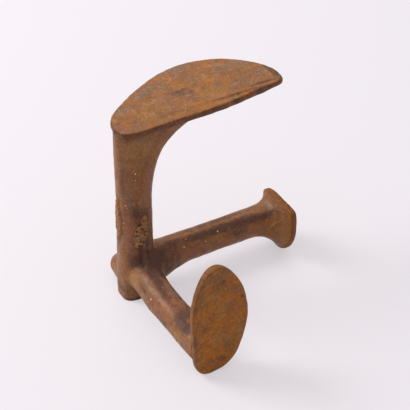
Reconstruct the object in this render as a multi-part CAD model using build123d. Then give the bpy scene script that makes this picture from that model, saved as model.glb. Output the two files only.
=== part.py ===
"""Cobbler's anvil: a three-footed iron last.

The anvil is one iron casting. A post stands on a foot and carries the large sole. Two legs lie
across the bottom of the post: the heel leg runs along +X to the heel plate, and the small sole's
leg runs along -Y to the small sole. A short spur continues the small sole's leg along +Y. Turned
over, the anvil rests on other ends and offers the heel plate or the small sole to the cobbler.

The casting is divided where its members join, and each member is one solid that meets its
neighbours face to face. The origin is on the floor under the post. All sizes are in millimetres.
"""
from build123d import *
import os
from math import copysign, cos, pi, sin

# Places of the three working faces and of the legs
height = 220.0  # floor to the face of the large sole
heel_reach = 181.5  # post axis to the face of the heel plate
small_sole_reach = 154.5  # post axis to the face of the small sole
leg_height = 35.5  # floor to the middle of both legs

# Large sole, a half-moon plate with its toe towards +X
large_sole_length = 197.5
large_sole_width = 91.0
large_sole_thickness = 6.0
large_sole_lip = 0.7  # the straight side stands this far proud of the web
heel_end_inset = 0.9  # the heel end lies this far inside the side of the post

# Small sole, a leaf-shaped plate on end, with its toe up
small_sole_length = 139.5
small_sole_width = 63.5
small_sole_thickness = 7.5
small_sole_inset = 2.4  # the straighter side lies this far inside the side of its leg

# Heel plate, a letter D lying on its round side
heel_plate_height = 65.0
heel_plate_width = 61.5
heel_plate_thickness = 6.5
heel_plate_side = 43.0  # post axis to the side of the plate towards -Y

# Rims of the three plates
face_rounding = 1.2  # around each working face
back_rounding = 1.8  # around the back of each plate

# Post, oval in section, spreading into a web below the large sole
post_width = 37.4  # along X at the waist
post_depth = 33.0  # along Y at the waist
post_shift = 2.6  # the post stands this far along +X from its axis
post_fullness = 2.0  # how square its section is, 2 for an ellipse
post_root_width = 41.5  # along X at the hub
post_root_depth = 37.0  # along Y at the hub
web_reach = 68.0  # post axis to the far end of the web
web_depth = 33.6  # along Y, below the sole
web_drop = 90.0  # how far below the sole the web starts
web_fullness = 3.0  # how square the end of the web is

# Legs, oval in section
heel_leg_thickness = 34.0
small_leg_thickness = 32.6
small_leg_drift = 2.5  # the small sole's leg ends this far along +X
leg_fullness = 2.2
root_length = 66.0  # post axis to where the roots of both legs have run out
heel_root_width = 56.0  # the heel leg at the post axis
heel_root_height = 40.0
heel_root_shift = 10.0  # its root leans this far towards -Y
heel_root_sag = 2.5
small_root_width = 38.0  # the small sole's leg at the post axis
small_root_height = 42.0
small_root_shift = 1.0  # its root leans this far towards +X
small_root_sag = 3.5
flare_length = 42.0  # the heel leg spreads over this length to meet its plate
flare_near_margin = 10.0  # rim of the heel plate to the flare, on the side towards -Y
flare_far_margin = 1.5  # the same towards +Y
flare_low_margin = 5.5  # the same at the floor
flare_high_margin = 8.5  # the same at the top

# Foot, the lower end of the post, and spur
foot_width = 40.0
foot_depth = 42.0
foot_shift = 2.0  # middle of the foot from the post axis, towards -Y
foot_rounding = 4.0
spur_reach = 44.0  # post axis to the tip of the spur
spur_root_thickness = 34.0
spur_tip_thickness = 24.0

# Scars of the casting, two leaf-shaped pads that stand proud of the post
scar_relief = 1.6
side_scar_length = 60.0
side_scar_width = 13.0
side_scar_height = 107.0  # floor to the middle of the scar towards -X
front_scar_length = 40.0
front_scar_width = 14.0
front_scar_height = 94.0  # floor to the middle of the scar towards -Y
front_scar_lean = 10.0  # degrees, its top leans towards +X

# Where the hub ends and its neighbours start
hub_side = 26.0  # post axis to each leg
hub_back = 20.0  # post axis to the spur
hub_top = 58.0  # floor to the post
hub_bottom = 16.0  # floor to the hub

# Shares of a length at which ovals stand, and how late each flare swings out
SHARES = (0.0, 0.30, 0.55, 0.75, 0.90, 1.0)  # along a flare or a root
POST_SHARES = (1.0, 0.5)  # from the hub up to the waist
LEG_SHARES = (1 / 3, 2 / 3, 1.0)  # along the small sole's leg, beyond its root
web_power = 3.0
post_power = 1.4
root_power = 1.5
flare_power = 3.0

# Outlines of the plates, as shares of their length and width
LARGE_SOLE_OUTLINE = (
    (0.000, 0.185), (0.011, 0.085), (0.035, 0.024), (0.075, 0.000), (0.220, 0.000), (0.400, 0.006),
    (0.700, 0.050), (0.890, 0.107), (0.976, 0.155), (1.000, 0.230), (0.987, 0.410), (0.912, 0.690),
    (0.800, 0.895), (0.640, 1.000), (0.463, 0.959), (0.248, 0.765), (0.068, 0.480), (0.010, 0.320),
)
SMALL_SOLE_OUTLINE = (
    (0.000, 0.370), (0.035, 0.645), (0.105, 0.790), (0.230, 0.915), (0.470, 1.000), (0.700, 0.935),
    (0.865, 0.795), (0.960, 0.620), (1.000, 0.430), (0.960, 0.245), (0.850, 0.118), (0.700, 0.028),
    (0.500, 0.000), (0.270, 0.026), (0.100, 0.060), (0.022, 0.170),
)
HEEL_PLATE_OUTLINE = (
    (0.000, 0.530), (0.035, 0.350), (0.170, 0.170), (0.420, 0.040), (0.680, 0.000), (0.880, 0.012),
    (0.975, 0.050), (1.000, 0.150), (1.000, 0.500), (0.965, 0.910), (0.900, 0.985), (0.720, 1.000),
    (0.420, 0.960), (0.190, 0.850), (0.050, 0.700),
)
OVAL_POINTS = 16


def outline(shares, length, width):
    """Closed smooth outline through points given as shares of its length and width."""
    return make_face(Spline(*((u * length, v * width) for u, v in shares), periodic=True))


def oval(width, depth, fullness):
    """Closed outline |x / a|^n + |y / b|^n = 1, an ellipse at n = 2 and squarer above."""
    points = []
    for step in range(OVAL_POINTS):
        turn = 2 * pi * step / OVAL_POINTS
        x, y = cos(turn), sin(turn)
        points.append((
            copysign(abs(x) ** (2 / fullness), x) * width / 2,
            copysign(abs(y) ** (2 / fullness), y) * depth / 2,
        ))
    return make_face(Spline(*points, periodic=True))


def swing(start, end, share, power):
    """From start at share 0 to end at share 1, turning late."""
    return start + (end - start) * share ** power


def rimmed_plate(face, thickness):
    """A plate on its outline, working face up, with both rims rounded."""
    plate = extrude(face, thickness)
    plate = fillet(plate.edges().group_by(Axis.Z)[-1], face_rounding)
    return fillet(plate.edges().group_by(Axis.Z)[0], back_rounding)


def on_floor(plate):
    """The plate moved up or down until its rim touches the floor."""
    return Pos(0, 0, -plate.bounding_box().min.Z) * plate


def large_sole_plate():
    face = outline(LARGE_SOLE_OUTLINE, large_sole_length, large_sole_width)
    heel_end = post_shift - post_width / 2 + heel_end_inset
    straight_side = -web_depth / 2 - large_sole_lip
    place = Pos(heel_end, straight_side, height - large_sole_thickness)
    return place * rimmed_plate(face, large_sole_thickness)


def small_sole_plate():
    """Its length stands up and its face looks along -Y."""
    face = mirror(outline(SMALL_SOLE_OUTLINE, small_sole_length, small_sole_width), Plane.XZ)
    side = small_leg_drift - small_leg_thickness / 2 + small_sole_inset
    back = Plane(
        origin=(side, small_sole_thickness - small_sole_reach, 0),
        x_dir=(0, 0, 1), z_dir=(0, -1, 0),
    )
    return on_floor(back * rimmed_plate(face, small_sole_thickness))


def heel_plate():
    """Its length stands up and its face looks along +X."""
    face = mirror(outline(HEEL_PLATE_OUTLINE, heel_plate_height, heel_plate_width), Plane.XZ)
    back = Plane(
        origin=(heel_reach - heel_plate_thickness, -heel_plate_side, 0),
        x_dir=(0, 0, 1), z_dir=(1, 0, 0),
    )
    return on_floor(back * rimmed_plate(face, heel_plate_thickness))


def post_size(level):
    """Width and depth of the post at a level, widening from its waist down to the hub."""
    waist = height - large_sole_thickness - web_drop
    share = max(0.0, (waist - level) / (waist - hub_top))
    width = swing(post_width, post_root_width, share, post_power)
    depth = swing(post_depth, post_root_depth, share, post_power)
    return width, depth


def scars():
    """Two flat ellipsoids, half sunk in the post, on its -X and -Y sides."""
    width, _ = post_size(side_scar_height)
    side = scale(Sphere(1), by=(scar_relief, side_scar_width / 2, side_scar_length / 2))
    side = Pos(post_shift - width / 2, 0, side_scar_height) * side
    _, depth = post_size(front_scar_height)
    front = scale(Sphere(1), by=(front_scar_width / 2, scar_relief, front_scar_length / 2))
    front = Pos(post_shift, -depth / 2, front_scar_height) * Rot(0, front_scar_lean, 0) * front
    return side + front


def post():
    """Up from its foot on the floor, waisted, and spreading along +X below the large sole."""
    top = height - large_sole_thickness
    waist = top - web_drop
    waist_left = post_shift - post_width / 2
    waist_right = post_shift + post_width / 2
    foot = oval(foot_width, foot_depth, post_fullness)
    sections = [Pos(0, -foot_shift, level) * foot for level in (0, hub_bottom)]
    for share in POST_SHARES:
        level = swing(waist, hub_top, share, 1)
        sections.append(Pos(post_shift, 0, level) * oval(*post_size(level), post_fullness))
    for share in SHARES:
        right = swing(waist_right, web_reach, share, web_power)
        depth = swing(post_depth, web_depth, share, 1)
        fullness = swing(post_fullness, web_fullness, share, 1)
        place = Pos((waist_left + right) / 2, 0, top - web_drop * (1 - share))
        sections.append(place * oval(right - waist_left, depth, fullness))
    shaft = loft(sections)
    return fillet(shaft.edges().group_by(Axis.Z)[0], foot_rounding) + scars()


def leg_section(out, side, rise, width, tall, along_x):
    """One oval of a leg: out from the post axis, side and rise of its middle."""
    if along_x:
        plane = Plane(origin=(out, side, leg_height + rise), x_dir=(0, 1, 0), z_dir=(1, 0, 0))
    else:
        plane = Plane(origin=(side, -out, leg_height + rise), x_dir=(1, 0, 0), z_dir=(0, -1, 0))
    return plane * oval(width, tall, leg_fullness)


def root_sections(thickness, width, tall, shift, sag, along_x):
    """A leg from the post axis to the end of its root, where it has its own thickness."""
    return [
        leg_section(
            root_length * (1 - share),
            swing(0, shift, share, root_power),
            swing(0, -sag, share, root_power),
            swing(thickness, width, share, root_power),
            swing(thickness, tall, share, root_power),
            along_x,
        )
        for share in reversed(SHARES)
    ]


def heel_leg():
    """Along +X, thickest at the hub and again at the heel plate."""
    back = heel_reach - heel_plate_thickness
    flare_width = heel_plate_width - flare_near_margin - flare_far_margin
    flare_height = heel_plate_height - flare_low_margin - flare_high_margin
    flare_side = flare_near_margin + flare_width / 2 - heel_plate_side
    flare_rise = flare_low_margin + flare_height / 2 - leg_height
    sections = root_sections(
        heel_leg_thickness, heel_root_width, heel_root_height, -heel_root_shift, heel_root_sag, True,
    )
    for share in SHARES:
        sections.append(leg_section(
            back - flare_length * (1 - share),
            swing(0, flare_side, share, flare_power),
            swing(0, flare_rise, share, flare_power),
            swing(heel_leg_thickness, flare_width, share, flare_power),
            swing(heel_leg_thickness, flare_height, share, flare_power),
            True,
        ))
    return loft(sections)


def small_sole_leg():
    """Along -Y, thickest at the hub and drifting a little along +X."""
    back = small_sole_reach - small_sole_thickness
    thickness = small_leg_thickness
    sections = root_sections(
        thickness, small_root_width, small_root_height, small_root_shift, small_root_sag, False,
    )
    for share in LEG_SHARES:
        out = swing(root_length, back, share, 1)
        sections.append(leg_section(out, small_leg_drift * share, 0, thickness, thickness, False))
    return loft(sections)


def spur():
    """A nose along +Y that tapers to a rounded tip and lies on the floor."""
    root_radius = spur_root_thickness / 2
    tip_radius = spur_tip_thickness / 2
    tip_middle = spur_reach - tip_radius
    taper = loft([
        Plane(origin=(0, 0, root_radius), z_dir=(0, 1, 0)) * Circle(root_radius),
        Plane(origin=(0, tip_middle, tip_radius), z_dir=(0, 1, 0)) * Circle(tip_radius),
    ])
    return taper + Pos(0, tip_middle, tip_radius) * Sphere(tip_radius)


def block(low, high):
    """A box between two corners."""
    size = [top - bottom for bottom, top in zip(low, high)]
    middle = [(top + bottom) / 2 for bottom, top in zip(low, high)]
    return Pos(*middle) * Box(*size)


def members():
    """The casting without its plates, cut into the hub and what grows out of it."""
    far = height + heel_reach + small_sole_reach
    upright = post()
    legs = heel_leg() + small_sole_leg() + spur()
    base = legs + (upright & block((-far, -far, -far), (far, far, hub_top)))
    cuts = {
        "centre_hub": ((-far, -hub_side, hub_bottom), (hub_side, hub_back, far)),
        "foot": ((-far, -hub_side, -far), (hub_side, hub_back, hub_bottom)),
        "heel_leg": ((hub_side, -far, -far), (far, far, far)),
        "small_sole_leg": ((-far, -far, -far), (hub_side, -hub_side, far)),
        "rear_spur": ((-far, hub_back, -far), (hub_side, far, far)),
    }
    pieces = {name: base & block(low, high) for name, (low, high) in cuts.items()}
    pieces["upright_post"] = (upright & block((-far, -far, hub_top), (far, far, far))) - legs
    return pieces


if __name__ == "__main__":
    os.makedirs("parts", exist_ok=True)
    pieces = members()
    pieces["large_sole_plate"] = large_sole_plate()
    pieces["small_sole_plate"] = small_sole_plate()
    pieces["heel_plate"] = heel_plate()
    for name, piece in pieces.items():
        export_step(piece, f"parts/{name}.step")
        print(f"{name}: {len(piece.solids())} solid, {piece.volume / 1000:.1f} cm3")
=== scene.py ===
"""Looks of a cobbler's anvil, laid out as an add-on and run as a script.

The anvil is one iron casting, so its skin is one smooth surface: the level zero of a distance worked
out from all its members, joined with fillets. Each piece is the part of that skin that belongs to
its node, cut at the same planes as the solids and closed there. Sizes are in metres, in the frame's
own axes: +Z up the post, +X along the heel leg, -Y along the small sole's leg.
"""

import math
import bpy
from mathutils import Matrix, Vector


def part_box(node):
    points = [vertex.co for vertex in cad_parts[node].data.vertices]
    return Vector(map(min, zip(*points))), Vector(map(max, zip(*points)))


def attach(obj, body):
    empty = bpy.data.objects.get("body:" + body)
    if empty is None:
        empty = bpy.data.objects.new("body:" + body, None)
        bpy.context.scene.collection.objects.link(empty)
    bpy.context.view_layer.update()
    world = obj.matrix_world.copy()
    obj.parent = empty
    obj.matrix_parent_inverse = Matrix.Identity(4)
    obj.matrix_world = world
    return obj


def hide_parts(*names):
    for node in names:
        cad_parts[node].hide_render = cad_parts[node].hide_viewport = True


bl_info = {
    "name": "Cobbler's anvil",
    "version": (1, 0, 0),
    "blender": (4, 5, 0),
    "location": "3D View > Sidebar > Anvil",
    "description": "Builds the rusted iron casting of a cobbler's anvil and its stage",
    "category": "Add Mesh",
}

import bmesh
import bpy
import numpy as np
from bpy.props import FloatProperty, FloatVectorProperty, PointerProperty
from mathutils import Vector

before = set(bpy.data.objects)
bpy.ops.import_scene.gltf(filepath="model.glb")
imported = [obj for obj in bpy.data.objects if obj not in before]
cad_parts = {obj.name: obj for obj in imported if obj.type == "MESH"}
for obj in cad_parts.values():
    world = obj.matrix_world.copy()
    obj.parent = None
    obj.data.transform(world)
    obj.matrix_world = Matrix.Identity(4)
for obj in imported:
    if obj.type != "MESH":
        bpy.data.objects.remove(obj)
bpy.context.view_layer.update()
BOXES = {node: tuple(np.array(corner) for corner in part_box(node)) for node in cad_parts}

PHOTO_PIXELS = 410
SENSOR_WIDTH = 36.0

# Outlines of the plates, as shares of their length and width
LARGE_SOLE_OUTLINE = (
    (0.000, 0.185), (0.011, 0.085), (0.035, 0.024), (0.075, 0.000), (0.220, 0.000), (0.400, 0.006),
    (0.700, 0.047), (0.890, 0.113), (0.981, 0.152), (1.000, 0.230), (0.994, 0.420), (0.914, 0.692),
    (0.797, 0.888), (0.640, 1.000), (0.460, 0.972), (0.251, 0.759), (0.062, 0.488), (0.012, 0.320),
)
SMALL_SOLE_OUTLINE = (
    (0.000, 0.370), (0.035, 0.645), (0.105, 0.795), (0.230, 0.913), (0.470, 1.000), (0.700, 0.933),
    (0.861, 0.780), (0.957, 0.612), (1.000, 0.430), (0.960, 0.245), (0.850, 0.118), (0.700, 0.028),
    (0.500, 0.000), (0.270, 0.026), (0.100, 0.060), (0.022, 0.170),
)
HEEL_PLATE_OUTLINE = (
    (0.000, 0.530), (0.035, 0.350), (0.170, 0.170), (0.420, 0.040), (0.680, 0.000), (0.880, 0.012),
    (0.975, 0.055), (1.000, 0.155), (1.000, 0.500), (0.965, 0.905), (0.910, 0.990), (0.720, 1.000),
    (0.420, 0.960), (0.190, 0.850), (0.050, 0.700),
)

# Marks that the photograph shows, in millimetres: middle, half sizes along X, Y and Z, and strength
# Dark marks: mostly dark purple-brown skin, but some are painted shade, as noted row by row below
DARK_SKIN_AND_SHADE_MARKS = (
    (73, 28, 220, 16, 3.5, 4, 0.55), (158, 0, 220, 22, 3, 5, 0.65), (120, -6, 220, 30, 2.5, 5, 0.6),
    (-2, -17, 118, 8, 6, 14, 0.6), (9, -15, 90, 10, 8, 34, 0.5), (-14, -10, 165, 3, 6, 34, 0.4),
    # Painted shade: the first two marks of this row darken the two grooves below the front scar
    (0, -19, 60, 2.2, 6, 20, 1.0), (7.4, -18, 60, 1.8, 6, 18, 0.8), (-8, -16, 56, 8, 8, 14, 0.35),
    # Painted shadow: the first mark of this row darkens the top of the small sole's leg in front of the post
    (5, -32, 53, 10, 13, 7, 0.9), (14, -17, 54, 7, 6, 12, 0.5), (38, -7, 51, 14, 7, 5, 0.8),
    (40, -18, 43, 10, 6, 7, 0.5), (70, -8, 50, 22, 4, 5, 0.7), (100, -8.5, 50, 20, 4.5, 5, 0.65),
    (130, -9.5, 50, 20, 5.5, 5, 0.75), (156, -14, 50, 14, 6, 5, 0.75), (122, -17, 41, 14, 6, 7, 0.5),
    (60, 4, 51, 40, 6, 5, 0.4), (120, 4, 51, 30, 6, 5, 0.45), (45, -22, 30, 12, 6, 8, 0.5),
    (2, -52, 52, 5, 15, 4, 0.8),
    (-14, -50, 44, 4, 13, 5, 0.5), (-6, -119, 50, 7, 13, 5, 0.8), (-5, -132, 50, 6, 8, 5, 0.8),
    (22, -154, 17, 15, 5, 6, 0.4), (44, -154, 92, 3, 4, 4, 0.55), (-9, -154, 54, 2.5, 4, 40, 0.4),
    # Painted shade: the last two marks of this row darken the lower left sides of the small sole's leg and of
    # the foot
    (24, -154, 118, 16, 4, 9, 0.35), (-18, -85, 26, 7, 45, 14, 0.35), (-19, 0, 30, 7, 16, 26, 0.30),
    # Painted shade: the marks of this row and the first of the next darken the crease where the legs meet the
    # front of the post
    (8, -24, 50, 12, 8, 8, 1.0), (20, -18, 52, 14, 8, 12, 0.9), (24, -24, 36, 12, 8, 10, 0.8),
    (12, -40, 46, 6, 14, 8, 0.8), (12, -70, 44, 5, 20, 7, 0.5), (10, -105, 44, 5, 20, 7, 0.6),
    # Painted shadow: the second mark of this row is a contact shadow along the front of the foot where it meets
    # the floor
    (-16, -4, 14, 6, 12, 6, 0.5), (0, -22, 2, 30, 12, 3, 0.9), (8, -16, 112, 5, 6, 10, 0.5),
    (90, -4, 48, 60, 14, 8, 0.3), (0, -90, 48, 12, 40, 6, 0.25), (-8, -14, 14, 14, 12, 14, 0.35),
    (-4, 38, 14, 14, 10, 14, 0.35), (170, -18, 50, 10, 16, 20, 0.35), (-4, -16, 62, 13, 8, 22, 0.35),
    (-12, -12, 130, 8, 8, 40, 0.25), (-2, -75, 52, 6, 25, 5, 0.45), (4, -112, 50, 7, 12, 6, 0.5),
    (78, 20, 220, 18, 6, 4, 0.45), (36, 36, 220, 12, 8, 4, 0.35), (-14, -95, 36, 6, 30, 10, 0.3),
)
GREY_MARKS = (
    (33, 39, 220, 12, 8, 4, 0.55), (90, 66, 220, 30, 9, 4, 0.6), (78, 20, 220, 18, 9, 4, 0.55),
    (46, 22, 220, 15, 9, 4, 0.5), (150, 45, 220, 32, 10, 4, 0.6), (136, 10, 220, 16, 9, 4, 0.45),
    (6, 26, 220, 15, 13, 4, 0.55), (50, 50, 220, 28, 10, 4, 0.5), (168, 18, 220, 14, 12, 4, 0.5),
    (-10, -10, 140, 6, 9, 40, 0.35),
    (-8, -45, 51, 4, 9, 4, 0.8), (-16, -14, 55, 5, 8, 20, 0.4), (-10, -154, 40, 3, 5, 30, 0.5),
)
RED_MARKS = (
    (-9, -6, 220, 9, 10, 5, 0.8), (-11, -13, 68, 6, 8, 26, 0.6), (14, -15, 158, 6, 8, 24, 0.7),
    (-10, -13, 108, 6, 8, 24, 0.7), (0, -60, 50, 7, 16, 5, 0.7), (70, -16, 44, 22, 6, 7, 0.6),
    (145, -18, 40, 14, 6, 9, 0.5),
    (-3, -92, 51, 8, 20, 5, 0.9), (-14, -90, 42, 5, 20, 8, 0.8), (59, -17, 39, 13, 6, 7, 0.8),
    (171, -27, 58, 8, 8, 8, 0.7), (110, -4, 220, 30, 4, 4, 0.4), (-9, -154, 20, 6, 5, 14, 0.5),
)
OCHRE_MARKS = (
    (3, -16, 197, 14, 9, 12, 0.8), (-10, -12, 196, 4, 5, 12, 0.6), (-15, -28, 40, 6, 10, 10, 0.9),
    (-17, -8, 24, 6, 12, 12, 0.5), (98, -13, 44, 20, 6, 6, 0.6), (172, -34, 24, 7, 8, 10, 0.7),
    (9, -154, 106, 6, 4, 4, 1.0), (17, -154, 139, 9, 5, 4, 1.0), (26, -154, 95, 6, 4, 14, 0.5),
    (16, -154, 46, 8, 4, 12, 0.8), (42, -154, 50, 6, 4, 14, 0.8), (30, -154, 40, 8, 4, 8, 0.7),
    (2, -154, 76, 4, 4, 5, 0.9), (20, -154, 88, 4, 4, 7, 0.7), (-14, -120, 36, 5, 22, 8, 0.8),
    (104, 8, 220, 24, 10, 4, 0.7), (108, 42, 220, 26, 9, 4, 0.5), (24, 0, 220, 14, 8, 4, 0.6),
)

# Chips that show bright metal, in millimetres: middle and radius
CHIPS = (
    (20.3, 12.3, 220, 0.9), (33.2, -11.8, 220, 0.9), (-6.6, -15.8, 217.5, 1.0), (173.9, 25.9, 220, 0.9),
    (-1.7, -16.0, 169.4, 1.1), (-1.8, -16.0, 161.2, 0.9), (-14.0, -8.5, 103.9, 0.9),
    (-11.9, -11.1, 128.7, 1.0), (13.4, -16.3, 55.5, 0.9), (28.7, -19.3, 48.1, 1.0),
    (-14.3, -68.5, 44.6, 1.2), (-12.6, -144.9, 42.3, 1.0), (167.9, -31.1, 42.2, 1.4),
    (54.3, -14.3, 47.5, 1.0), (98.8, -10.2, 49.3, 1.1), (81.8, -14.7, 45.0, 0.9),
    (150.0, -17.0, 40.0, 0.8), (60.0, -8.0, 52.0, 0.8), (70.0, 30.0, 220, 0.8), (120.0, 20.0, 220, 0.8),
)

# Small pits, in millimetres: middle and radius
PITS = (
    (-16.5, -13.6, 26.7, 1.8), (-5.6, -129.5, 50.3, 1.0), (-8.5, -124.0, 49.5, 0.9),
    (-2.5, -134.0, 51.0, 0.9), (44.1, -154.5, 92.2, 0.8), (14.0, -50.0, 48.0, 0.8), (1.0, -60.0, 52.0, 0.8),
)


def length(name, description, default):
    return FloatProperty(
        name=name, description=description, default=default, subtype="DISTANCE", unit="LENGTH", precision=4,
    )


def number(name, description, default):
    return FloatProperty(name=name, description=description, default=default, precision=3)


def share(name, description, default):
    return FloatProperty(
        name=name, description=description, default=default, min=0.0, max=1.0, subtype="FACTOR",
    )


def colour(name, description, default):
    return FloatVectorProperty(
        name=name, description=description, default=default, size=3, min=0.0, max=1.0, subtype="COLOR",
    )


def low(node, axis):
    return BOXES[node][0][axis]


def high(node, axis):
    return BOXES[node][1][axis]


class AnvilPlates(bpy.types.PropertyGroup):
    """Plates: where they lie comes from the solids."""

    large_thickness: length("Large sole", "Thickness of the large sole", 0.006)
    small_thickness: length("Small sole", "Thickness of the small sole", 0.0075)
    heel_thickness: length("Heel plate", "Thickness of the heel plate", 0.0065)
    small_inset: length("Small sole inset", "How far its rim stands inside the solid's", 0.0007)
    face_rounding: length("Face rounding", "Rounding around each working face", 0.0022)
    back_rounding: length("Back rounding", "Rounding around the back of each plate", 0.0018)


class AnvilPost(bpy.types.PropertyGroup):
    """Post, its foot and its web."""

    width: length("Width", "Along X at the waist", 0.0372)
    depth: length("Depth", "Along Y at the waist", 0.033)
    shift: length("Shift", "How far the post stands along +X from its axis", 0.0030)
    root_shift: length("Root shift", "The same at the hub", 0.0021)
    root_width: length("Root width", "Along X at the hub", 0.0381)
    root_depth: length("Root depth", "Along Y at the hub", 0.037)
    web_reach: length("Web reach", "Post axis to the far end of the web", 0.0755)
    web_depth: length("Web depth", "Along Y, below the sole", 0.0336)
    web_drop: length("Web drop", "How far below the sole the web starts", 0.090)
    web_power: number("Web curve", "How late the last part of the web swings out", 6.0)
    web_late: share("Late share", "How much of the web's reach belongs to that last part", 0.62)
    web_fullness: number("Web fullness", "How square the end of the web is", 3.0)
    back_fullness: number("Back fullness", "How square the post is at its other side, below the sole", 2.2)
    root_power: number("Root curve", "How late the post widens towards the hub", 1.4)
    foot_width: length("Foot width", "Along X at the floor", 0.0368)
    foot_depth: length("Foot depth", "Along Y at the floor", 0.032)
    foot_shift: length("Foot shift", "Middle of the foot from the post axis, towards -Y", 0.0023)
    foot_fullness: number("Foot fullness", "How square the foot is", 3.0)
    foot_rounding: length("Foot rounding", "Rounding around the bottom", 0.0006)


class AnvilLegs(bpy.types.PropertyGroup):
    """Both legs and the spur."""

    height: length("Height", "Floor to the middle of both legs", 0.0358)
    heel_thickness: length("Heel leg", "Thickness of the heel leg", 0.0317)
    small_thickness: length("Small sole's leg", "Thickness of the small sole's leg", 0.0316)
    small_drift: length("Drift", "How far the small sole's leg ends along +X", 0.0025)
    fullness: number("Fullness", "How square both legs are in section", 2.2)
    root_length: length("Root length", "Post axis to where the roots of the legs have run out", 0.066)
    root_power: number("Root curve", "How late the roots swing out", 1.5)
    heel_root_width: length("Heel root width", "The heel leg at the post axis", 0.058)
    heel_root_height: length("Heel root height", "The heel leg at the post axis", 0.046)
    heel_root_shift: length("Heel root shift", "How far the root leans towards -Y", 0.010)
    heel_root_sag: length("Heel root sag", "How far the root sinks", 0.0)
    small_root_width: length("Small root width", "The small sole's leg at the post axis", 0.0345)
    small_root_height: length("Small root height", "The small sole's leg at the post axis", 0.0345)
    small_root_shift: length("Small root shift", "How far the root leans towards +X", 0.005)
    small_root_sag: length("Small root sag", "How far the root sinks", 0.0050)
    flare_length: length("Flare length", "The heel leg spreads over this length to its plate", 0.040)
    flare_low_power: number("Lower flare curve", "How late the flare swings out below", 3.0)
    flare_high_power: number("Upper flare curve", "How late the flare swings out above", 6.0)
    flare_inset: length("Flare inset", "Rim of the heel plate to the flare", 0.0012)
    draw_in: number("Draw-in", "How steeply the small sole's leg narrows to its plate", 0.16)
    spur_reach: length("Spur reach", "Post axis to the tip of the spur", 0.044)
    spur_root: length("Spur root", "Thickness of the spur at the post axis", 0.031)
    spur_tip: length("Spur tip", "Thickness of the spur at its tip", 0.0254)


class AnvilScars(bpy.types.PropertyGroup):
    """Marks of the mould: two leaf-shaped scars and two grooves on the post, a ridge along the heel
    leg, and pits."""

    relief: length("Relief", "How far they stand proud", 0.0012)
    side_length: length("Side scar length", "Scar towards -X", 0.056)
    side_width: length("Side scar width", "Scar towards -X", 0.013)
    side_height: length("Side scar height", "Floor to its middle", 0.105)
    front_length: length("Front scar length", "Scar towards -Y", 0.038)
    front_width: length("Front scar width", "Scar towards -Y", 0.0142)
    front_height: length("Front scar height", "Floor to its middle", 0.094)
    front_lean: FloatProperty(
        name="Front scar lean", description="How far its top leans towards +X",
        default=math.radians(12), subtype="ANGLE", unit="ROTATION",
    )
    front_taper: share("Front scar taper", "How much narrower its top is than its middle", 0.45)
    outline_groove: length("Outline groove", "Depth of the groove around each scar", 0.0003)
    crust: length("Crust", "Height of the lumps on the front scar", 0.0010)
    groove: length("Front grooves", "Depth of the two grooves below the front scar", 0.0010)
    groove_low: length("Grooves from", "Height of their lower end", 0.036)
    groove_high: length("Grooves to", "Height of their upper end", 0.078)
    leg_ridge: length("Leg ridge", "Height of the ridge along the top of the heel leg", 0.0006)
    pit: length("Pit depth", "Depth of the single pits", 0.0007)


class AnvilSkin(bpy.types.PropertyGroup):
    """How the members run into each other, and how even the casting is."""

    cell: length("Cell", "Spacing of the net that the skin is drawn from", 0.0008)
    hub_fillet: length("Hub fillet", "Width over which the legs run into the post", 0.010)
    small_fillet: length("Small leg's fillet", "Width over which the small sole's leg runs into the post", 0.006)
    spur_fillet: length("Spur fillet", "Width over which the spur runs into the post", 0.003)
    plate_fillet: length("Plate fillet", "Width over which a member runs into its plate", 0.007)
    rim_fillet: length("Rim fillet", "The same where the member is flush with the rim", 0.001)
    growth: length("Growth", "How far the skin stands outside the sizes of the solids", 0.0007)
    swell: length("Swell", "Height of the slow swells of the surface", 0.00025)
    ripple: length("Ripple", "Height of the small unevenness of the surface", 0.00010)


def plate_spots():
    """Corner, long, cross and up axes of each plate, from the box of its solid."""
    small_low, small_high = BOXES["small_sole_plate"]
    x, y, z = np.eye(3)
    return {
        "large_sole_plate": (BOXES["large_sole_plate"][0], x, y, z),
        "small_sole_plate": (np.array([small_low[0], small_high[1], small_low[2]]), z, x, -y),
        "heel_plate": (BOXES["heel_plate"][0], z, y, x),
    }


def closed_spline(points, count=2048):
    """Smooth closed curve through points: piecewise cubics over the chord lengths, whose first and
    second derivatives agree at each point."""
    chord = np.linalg.norm(np.roll(points, -1, 0) - points, axis=1)
    before = np.roll(chord, 1)
    size = len(points)
    rows = np.arange(size)
    system = np.zeros((size, size))
    system[rows, rows] = 2 * (before + chord)
    system[rows, (rows - 1) % size] = chord
    system[rows, (rows + 1) % size] = before
    step = (np.roll(points, -1, 0) - points) / chord[:, None]
    slope = np.linalg.solve(system, 3 * (chord[:, None] * np.roll(step, 1, 0) + before[:, None] * step))
    knots = np.concatenate([[0], np.cumsum(chord)])
    at = np.linspace(0, knots[-1], count, endpoint=False)
    piece = np.searchsorted(knots, at, side="right") - 1
    span = chord[piece]
    t = ((at - knots[piece]) / span)[:, None]
    after = (piece + 1) % size
    span = span[:, None]
    return (
        (1 + 2 * t) * (1 - t) ** 2 * points[piece]
        + t * (1 - t) ** 2 * span * slope[piece]
        + t ** 2 * (3 - 2 * t) * points[after]
        - t ** 2 * (1 - t) * span * slope[after]
    )


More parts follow.
